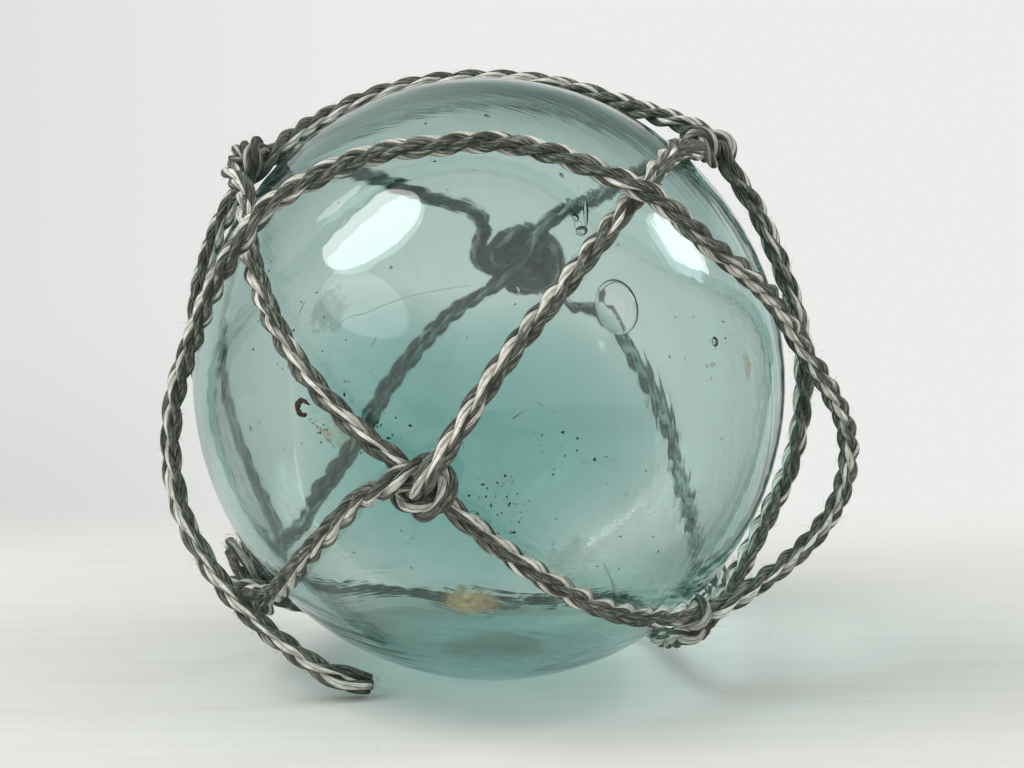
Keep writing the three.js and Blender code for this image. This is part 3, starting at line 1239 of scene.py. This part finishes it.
class FibreMesh:
    """Gathers fine hairs as plain mesh data, each a thin bent three-sided cone."""

    SIDES = 3
    # Two rings of corners and a tip
    CORNERS = 2 * SIDES + 1

    def __init__(self) -> None:
        """Starts with nothing."""
        self.points: list[np.ndarray] = []
        self.count = 0

    def add(self, roots: np.ndarray, middles: np.ndarray, tips: np.ndarray, radius: np.ndarray) -> None:
        """Adds hairs.

        Args:
            roots: Where they start.
            middles: A point that each bends towards.
            tips: Where they end.
            radius: How thick each is at its root.
        """
        share = np.array((0.0, 0.5))[:, None, None]
        curve = roots * (1 - share) ** 2 + 2 * middles * share * (1 - share) + tips * share ** 2
        ahead = unit(tips - roots)
        side = unit(np.cross(ahead, (0.31, 0.52, 0.8)))
        other = np.cross(ahead, side)
        turn = np.arange(self.SIDES) * 2 * math.pi / self.SIDES
        ring = (np.cos(turn)[:, None, None] * side + np.sin(turn)[:, None, None] * other)
        thick = radius[:, None] * (1 - 0.5 * share)
        hairs = curve[:, None] + ring[None] * thick[:, None]
        hairs = hairs.transpose(2, 0, 1, 3).reshape(len(roots), -1, 3)
        self.points.append(np.concatenate([hairs, tips[:, None]], axis=1).reshape(-1, 3))
        self.count += len(roots)

    def build(self, name: str, material: bpy.types.Material) -> bpy.types.Object:
        """Makes the object.

        Args:
            name: The piece's name.
            material: Its finish.

        Returns:
            The piece.
        """
        faces = [(2, 1, 0)]
        for low in range(self.SIDES):
            beside = (low + 1) % self.SIDES
            high, over = low + self.SIDES, beside + self.SIDES
            faces += [(low, beside, over, high), (high, over, self.CORNERS - 1)]
        every = [tuple(corner + self.CORNERS * hair for corner in face)
                 for hair in range(self.count) for face in faces]
        mesh = bpy.data.meshes.new(name)
        mesh.from_pydata(np.vstack(self.points).tolist(), [], every)
        return finished(mesh, material)


@dataclass
class Fuzz:
    """The loose fibres that stand off the twine."""

    per_metre: int = 9500
    longest: float = 0.0017
    radius: float = 0.000016
    step: float = 0.0005
    off_glass: float = 0.0001
    off_floor: float = 0.0002
    finish: Plain = Plain("lint", (0.09, 0.095, 0.08), (0.46, 0.45, 0.39), 900.0)

    def build(self, net: Net) -> bpy.types.Object:
        """Grows the fibres along all the twine of a net.

        Args:
            net: The net.

        Returns:
            The piece.
        """
        mesh = FibreMesh()
        draw = np.random.default_rng(21)
        for line in net.lines:
            line = evenly(line, self.step, False)
            ahead = unit(np.gradient(line, axis=0))
            count = round(len(line) * self.step * self.per_metre)
            at = draw.integers(0, len(line), count)
            out = unit(np.cross(ahead[at], draw.normal(size=(count, 3))))
            roots = line[at] + out * net.twine.diameter * draw.uniform(0.34, 0.48, (count, 1))
            length = self.longest * (0.22 + 0.78 * draw.random((count, 1)) ** 2.5)
            way = unit(out * draw.uniform(0.08, 0.9, (count, 1))
                       + ahead[at] * draw.choice((-1.0, 1.0), (count, 1))
                       + 0.3 * draw.normal(size=(count, 3)))
            tips = roots + way * length
            middles = roots + (way * 0.5 + out * 0.2) * length
            tips, middles = net.clear_by(tips, self.off_glass), net.clear_by(middles, self.off_glass)
            above = tips[:, 2] > self.off_floor
            radius = self.radius * draw.uniform(0.6, 1.3, count)
            mesh.add(roots[above], middles[above], tips[above], radius[above])
        for end, count in net.ends:
            self._tuft(mesh, net, end, count, draw)
        return mesh.build("twine_fuzz", self.finish.material())

    def _tuft(self, mesh: FibreMesh, net: Net, end: np.ndarray, count: int,
              draw: np.random.Generator) -> None:
        """Adds the short fibres that stand out of a cut end.

        Args:
            mesh: Where they are added.
            net: The net.
            end: The last part of the line that is cut.
            count: How many there are.
            draw: The random draws.
        """
        shape = (count, 3)
        roots = end[draw.integers(0, len(end), count)] + draw.normal(size=shape) * net.twine.diameter * 0.3
        way = unit(unit(end[-1] - end[0]) + 0.6 * draw.normal(size=shape))
        length = self.longest * draw.uniform(0.2, 0.75, (count, 1))
        tips = net.clear_by(roots + way * length, self.off_glass)
        above = (tips[:, 2] > self.off_floor) & (roots[:, 2] > self.off_floor)
        middles = (roots + tips) / 2 + draw.normal(size=shape) * length * 0.12
        mesh.add(roots[above], middles[above], tips[above], np.full(above.sum(), self.radius * 1.3))


@dataclass
class Grit:
    """Dark specks of dried dirt on the glass, thickest in patches near the front knot."""

    scattered: int = 260
    smallest: float = 0.00004
    further: float = 0.00012
    # Patches of specks: the heading of each, how far it spreads and how many there are
    patches: tuple = ((-19.0, -2.7, 0.0022, 34), (1.0, -14.6, 0.0024, 46), (4.0, -18.0, 0.003, 24),
                      (19.0, -7.0, 0.0022, 12), (12.0, -3.0, 0.004, 22), (-30.0, -2.0, 0.002, 30),
                      (-25.0, 5.0, 0.0035, 14), (-14.0, -22.0, 0.003, 20), (25.0, -27.0, 0.004, 22),
                      (46.0, 14.0, 0.003, 12), (-36.0, 14.0, 0.005, 20))
    finish: Plain = Plain("dried_dirt", (0.012, 0.016, 0.013), (0.05, 0.055, 0.045), 1500.0)

    def _flake(self) -> tuple[np.ndarray, list[tuple[int, ...]]]:
        """Models one speck.

        Returns:
            Its corners and its faces.
        """
        bpy.ops.object.select_all(action="DESELECT")
        bpy.ops.mesh.primitive_ico_sphere_add(subdivisions=1, radius=1.0, location=(0, 0, 0))
        flake = bpy.context.object
        corners = Modelling.corners(flake)
        faces = [tuple(face.vertices) for face in flake.data.polygons]
        bpy.data.objects.remove(flake)
        return corners, faces

    def build(self, ball: GlassBall) -> bpy.types.Object:
        """Scatters the specks over a ball.

        Args:
            ball: The ball.

        Returns:
            The piece.
        """
        corners, faces = self._flake()
        draw = np.random.default_rng(5)
        directions = [unit(draw.normal(size=(self.scattered, 3)))]
        for round_about, up, spread, count in self.patches:
            off = draw.normal(size=(count, 3)) * spread / (ball.width / 2) * 0.7
            directions.append(unit(heading(round_about, up) + off))
        way = np.vstack(directions)
        way = way[way[:, 2] > -0.95]
        side = unit(np.cross(way, draw.normal(size=way.shape)))
        other = np.cross(way, side)
        size = self.smallest + self.further * draw.random((len(way), 1)) ** 4
        long = size * draw.uniform(1, 2.2, (len(way), 1))
        foot = ball.centre + way * ball.skin(way)[:, None]
        shape = corners[None] * draw.uniform(0.75, 1.25, (len(way), len(corners), 1))
        points = (foot[:, None] + shape[..., :1] * (side * long)[:, None]
                  + shape[..., 1:2] * (other * size)[:, None] + shape[..., 2:] * (way * size * 0.3)[:, None])
        every = [tuple(corner + len(corners) * k for corner in face)
                 for k in range(len(way)) for face in faces]
        mesh = bpy.data.meshes.new("grit")
        mesh.from_pydata(points.reshape(-1, 3).tolist(), [], every)
        return finished(mesh, self.finish.material())


def arc(at: tuple[float, float], reach: float, start: float, stop: float) -> tuple:
    """Gives the headings along an arc.

    Args:
        at: The heading of its middle.
        reach: Its radius in degrees of heading.
        start: The direction of its start, in degrees from the right, turning up.
        stop: The direction of its end.

    Returns:
        Eight headings.
    """
    turns = [math.radians(turn) for turn in np.linspace(start, stop, 8)]
    return tuple((at[0] + reach * math.cos(turn), at[1] + reach * math.sin(turn)) for turn in turns)


@dataclass(frozen=True)
class Mark:
    """A line on the glass: the headings that it passes, and its half width at its start and end."""

    path: tuple[tuple[float, float], ...]
    start: float
    end: float


@dataclass
class Marks:
    """Lines that stand a hair's breadth on the glass, all of one finish."""

    name: str
    lines: tuple[Mark, ...]
    finish: Plain
    height: float = 0.00004
    sides: int = 6

    def build(self, ball: GlassBall) -> bpy.types.Object:
        """Draws the lines on a ball.

        Args:
            ball: The ball.

        Returns:
            The piece.
        """
        mesh = StrandMesh()
        for line in self.lines:
            way = unit(smooth_line(np.array([heading(*at) for at in line.path]), closed=False, fine=6))
            points = ball.centre + way * ball.skin(way)[:, None]
            across = unit(np.cross(unit(np.gradient(points, axis=0)), way))
            share = np.linspace(0, 1, len(points))
            width = line.start + (line.end - line.start) * share
            width = width * (1 + 0.2 * wander(share + 0.001, 0.15, len(points)))
            round_it = 2 * math.pi * np.arange(self.sides) / self.sides
            rings = (points[:, None] + (width[:, None] * np.cos(round_it))[..., None] * across[:, None]
                     + (self.height * np.sin(round_it))[None, :, None] * way[:, None])
            turn = np.zeros((len(points), self.sides + 1))
            mesh.tube(rings, turn, share, 0.0, False, 0 * share)
        return mesh.build(self.name, self.finish.material())


@dataclass(frozen=True)
class Stain:
    """A patch of thin dried dirt on the glass: where it is, its reach, its density and its width."""

    at: tuple[float, float]
    reach: float
    density: float
    wide: float = 1.0


@dataclass
class Stains:
    """All the patches of dried dirt on the glass."""

    spots: tuple[Stain, ...] = (
        Stain((-4.2, -35.2), 0.0034, 0.85, 1.5), Stain((53.9, 6.6), 0.0026, 0.5, 0.45),
        Stain((-26.0, -2.4), 0.0026, 0.3, 1.4), Stain((96.0, 20.0), 0.004, 0.3),
        Stain((-140.0, 10.0), 0.005, 0.35), Stain((150.0, -50.0), 0.006, 0.3))
    rings: int = 8
    sides: int = 32
    height: float = 0.00003

    @staticmethod
    def _material() -> bpy.types.Material:
        """Makes the finish, which grows thin and ragged towards a patch's edge.

        Returns:
            The material.
        """
        s = Shader("dried_film")
        off = s.add("ShaderNodeAttribute", {"attribute_name": "off"}, None, "Fac")
        dried = s.add("ShaderNodeAttribute", {"attribute_name": "dried"}, None, "Fac")
        ragged = s.noise(s.objects(), 750.0, 5.0, roughness=0.65)
        shown = (1 - (off + (ragged - 0.5) * 1.7).between(0.35, 0.8)) * dried
        colour = s.mix((0.2, 0.2, 0.12, 1), (0.46, 0.42, 0.25, 1), ragged.between(0.35, 0.65))
        return s.surface(s.add("ShaderNodeBsdfPrincipled", None, {
            "Base Color": colour, "Roughness": 0.8, "Alpha": shown}))

    def build(self, ball: GlassBall) -> bpy.types.Object:
        """Lays the patches on a ball.

        Args:
            ball: The ball.

        Returns:
            The piece.
        """
        angle = 2 * math.pi * np.arange(self.sides) / self.sides
        off = np.linspace(0, 1, self.rings + 1)[1:]
        points, faces, offs, densities = [], [], [], []
        for stain in self.spots:
            out = heading(*stain.at)
            right = unit(np.cross(out, (0.0, 0.0, 1.0)))
            up = np.cross(right, out)
            flat = (np.cos(angle)[:, None] * right * stain.wide + np.sin(angle)[:, None] * up) * stain.reach
            way = unit(out * ball.width / 2 + off[:, None, None] * flat[None]).reshape(-1, 3)
            way = np.vstack([out, way])
            base = sum(len(block) for block in points)
            points.append(ball.centre + way * (ball.skin(way) + self.height)[:, None])
            offs.append(np.concatenate([[0], np.repeat(off, self.sides)]))
            densities.append(np.full(len(way), stain.density))
            for side in range(self.sides):
                after = (side + 1) % self.sides
                faces.append((base, base + 1 + side, base + 1 + after))
                for start in range(base + 1, base + 1 + (self.rings - 1) * self.sides, self.sides):
                    here, beside = start + side, start + after
                    faces.append((here, here + self.sides, beside + self.sides, beside))
        mesh = bpy.data.meshes.new("stains")
        mesh.from_pydata(np.vstack(points).tolist(), [], faces)
        for key, values in (("off", offs), ("dried", densities)):
            mesh.attributes.new(key, "FLOAT", "POINT").data.foreach_set("value", np.concatenate(values))
        mesh.shade_smooth()
        return finished(mesh, self._material())


HAIRLINES = (
    Mark(((3.9, 0.4), (4.8, 1.1), (5.9, 1.7)), 0.00006, 0.00002),
    Mark(arc((18.6, 33.8), 0.9, 20, 330), 0.00003, 0.00003),
    Mark(arc((17.4, 36.6), 0.7, -60, 200), 0.00003, 0.00002),
    Mark(arc((16.6, 27.3), 0.8, 100, 380), 0.00003, 0.00002),
    Mark(((-36.5, 17.0), (-35.6, 19.4)), 0.00003, 0.00002),
    Mark(((-20.6, 12.3), (-19.8, 14.0)), 0.00004, 0.00002),
)
# A painted reflection of the draped cord, a faint line across the upper left of the glass, and a grey-green
# wedge low at the right
CORD_REFLECTION_AND_WEDGE = (
    Mark(((-29.1, 14.6), (-25.2, 17.1), (-22.5, 17.7), (-16.2, 20.3), (-9.5, 21.9), (-3.5, 22.9)),
         0.00007, 0.00003),
    Mark(((22.6, -27.1), (25.4, -31.0), (28.9, -35.7)), 0.00003, 0.0003),
)
CHIP = (
    Mark(arc((-33.8, 1.0), 1.25, 55, 170), 0.00022, 0.00046),
    Mark(arc((-33.8, 1.0), 1.25, 165, 305), 0.00048, 0.0002),
    Mark(((-33.4, 2.1), (-32.4, 1.6)), 0.00024, 0.0001),
)
TRAIL = tuple(
    Mark(((-32.8 + 0.6 * k, -0.9 - 0.25 * k), (-30.6 + 0.5 * k, -2.2 - 0.55 * k), (-27.9, -3.0 - 0.3 * k)),
         0.00004, 0.00002)
    for k in range(7))


@dataclass
class Studio:
    """A pale floor, a pale surround, a large soft light at the upper left and one at the right."""

    floor_tone: tuple = (0.69, 0.68, 0.655)
    surround: tuple = (1.097, 1.104, 1.078)
    away: float = 1.2
    lit_height: float = 0.038

    def floor(self) -> bpy.types.Object:
        """Lays the floor, which fades into the surround a hand's breadth behind the float, with a painted
        band of shade across it in front of the float and a painted pool of light just behind it.

        Returns:
            The floor.
        """
        bpy.ops.object.select_all(action="DESELECT")
        bpy.ops.mesh.primitive_plane_add(size=0.8, location=(0, -0.27, 0))
        floor = bpy.context.object
        floor.name = "stage_floor"
        Modelling.place(floor)
        s = Shader("paper")
        x, y, _ = s.parts(s.objects())
        gone = y.between(0.055, 0.115)
        brushed = s.noise(s.vector(x * 22, y * 420, 0.0), 1.0, 4.0, roughness=0.6)
        # Painted shade: a darker band across the floor in front of and under the float
        wear_and_shade = y.between(-0.038, -0.012) * (1 - y.between(-0.002, 0.03))
        specks = s.noise(s.objects(), 420.0, 2.0).between(0.735, 0.76)
        # The darker tone of the grain streaks and specks, which also paints the band of shade
        grain_and_shade_tone = tuple(0.8 * part for part in self.floor_tone)
        share = brushed.between(0.3, 0.75) * 0.22 + wear_and_shade * 0.4 + specks * 0.8
        colour = s.mix((*self.floor_tone, 1), (*grain_and_shade_tone, 1), share)
        # Painted light: a pool of near-white painted on the floor just behind the float, where light through
        # the glass falls
        behind = (x ** 2 + (y - 0.034) ** 2).function("SQRT")
        colour = s.mix((0.98, 0.98, 0.96, 1), colour, behind.between(0.012, 0.04))
        paper = s.add("ShaderNodeBsdfPrincipled", None, {"Base Color": colour, "Roughness": 0.9,
                                                         "Specular IOR Level": 0.1})
        clear = s.add("ShaderNodeBsdfTransparent")
        floor.data.materials.append(s.surface(s.add("ShaderNodeMixShader", None,
                                                    {0: gone, 1: paper, 2: clear})))
        return floor

    def room(self) -> None:
        """Paints the surround: dimmer at the left and low down, and dark behind above the backdrop."""
        s = Shader("surround", world=True)
        x, y, z = s.parts(s.add("ShaderNodeTexCoord", None, None, "Generated"))
        left = 1 - x.between(-0.3, 0.0)
        low = (1 - x.between(-0.3, 0.1)) * (1 - z.between(-0.22, -0.07))
        above = z.between(0.22, 0.44) * y.between(0.15, 0.6) * (x.between(-0.4, 0.2) * 0.5 + 0.6)
        front = (y * -1.0).between(0.1, 0.7)
        dim = (1 - left * 0.11) * (1 - low * 0.12) * (1 - above * 0.7) * (front * 0.23 + 0.77)
        colour = s.mix((0, 0, 0, 1), (*self.surround, 1), dim)
        light = s.add("ShaderNodeBackground", None, {"Color": colour})
        s.add("ShaderNodeOutputWorld", None, {"Surface": light})
        bpy.context.scene.world = s.material

    def light(self, name: str, at: tuple[float, float], size: tuple[float, float], strength: float,
              roll: float = 0.0, shape: str = "ELLIPSE") -> None:
        """Hangs a soft light that faces the float.

        Args:
            name: Its name.
            at: The heading that it hangs at.
            size: How wide and high it looks from the float, in degrees.
            strength: Its brightness, as a share of plain white.
            roll: How far it is turned about its own axis, in degrees.
            shape: Its shape.
        """
        data = bpy.data.lights.new(name, "AREA")
        data.shape = shape
        data.size, data.size_y = (2 * self.away * math.tan(math.radians(part / 2)) for part in size)
        area = data.size * data.size_y * (math.pi / 4 if shape == "ELLIPSE" else 1)
        data.energy = strength * math.pi * area
        lamp = bpy.data.objects.new(name, data)
        direction = Vector(heading(*at))
        turn = direction.to_track_quat("Z", "Y").to_matrix().to_4x4()
        place = direction * self.away + Vector((0, 0, self.lit_height))
        lamp.matrix_world = (Matrix.Translation(place) @ turn
                             @ Matrix.Rotation(math.radians(roll), 4, "Z"))
        bpy.context.scene.collection.objects.link(lamp)

    def build(self) -> None:
        """Sets the studio up."""
        self.floor()
        self.room()
        self.light("key", (-72, 51), (26, 33), 7.0, roll=-22)
        self.light("strip", (-99, 53), (5, 25), 3.0, roll=-4)
        self.light("window", (-52, 28), (38, 19), 1.4, roll=-12)
        self.light("fill", (103, 32), (16, 21), 6.0)
        scene = bpy.context.scene
        scene.view_settings.view_transform = "Standard"
        scene.cycles.max_bounces = 24
        scene.cycles.transmission_bounces = 24
        scene.cycles.transparent_max_bounces = 24
        scene.cycles.diffuse_bounces = 3
        scene.cycles.glossy_bounces = 8
        scene.cycles.caustics_refractive = True
        scene.cycles.caustics_reflective = False
        scene.cycles.use_denoising = True


def dress(piece: bpy.types.Object, node: str | None = None) -> None:
    """Says what a piece rides on and which node it stands for.

    Args:
        piece: The piece.
        node: The node that it stands for, if it does.
    """
    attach(piece, "root")
    if node:
        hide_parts(node)
    log.info("%s: %d faces", piece.name, len(piece.data.polygons))


def main() -> None:
    """Builds the float and its studio."""
    logging.basicConfig(level=logging.INFO, format="%(message)s")
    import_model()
    Viewpoint().build()
    ball = GlassBall()
    net = Net(ball, Twine())
    dress(LooseCord(net).build(), "loose_cord")
    dress(net.build(), "twine_net")
    dress(ball.build(), "glass_ball")
    dress(Fuzz().build(net))
    dress(Grit().build(ball))
    dress(Stains().build(ball))
    dark_line = Plain("old_score", (0.03, 0.055, 0.048), (0.09, 0.13, 0.115), 1500.0)
    dress(Marks("hairlines", HAIRLINES, dark_line).build(ball))
    rust = Plain("rusty_dirt", (0.02, 0.013, 0.009), (0.07, 0.045, 0.03), 2500.0)
    dress(Marks("rusty_chip", CHIP, rust, height=0.00016).build(ball))
    # Painted reflection: the cord's reflection is drawn in this pale grey-green finish, which the wedge
    # shares
    pale_line = Plain("green_grey_line", (0.2, 0.29, 0.27), (0.28, 0.39, 0.36), 900.0)
    dress(Marks("cord_reflection_and_wedge", CORD_REFLECTION_AND_WEDGE, pale_line).build(ball))
    weed = Plain("dried_weed", (0.11, 0.105, 0.075), (0.5, 0.48, 0.38), 3000.0)
    dress(Marks("weed_trail", TRAIL, weed, height=0.00007).build(ball))
    Studio().build()


if __name__ == "__main__":
    main()
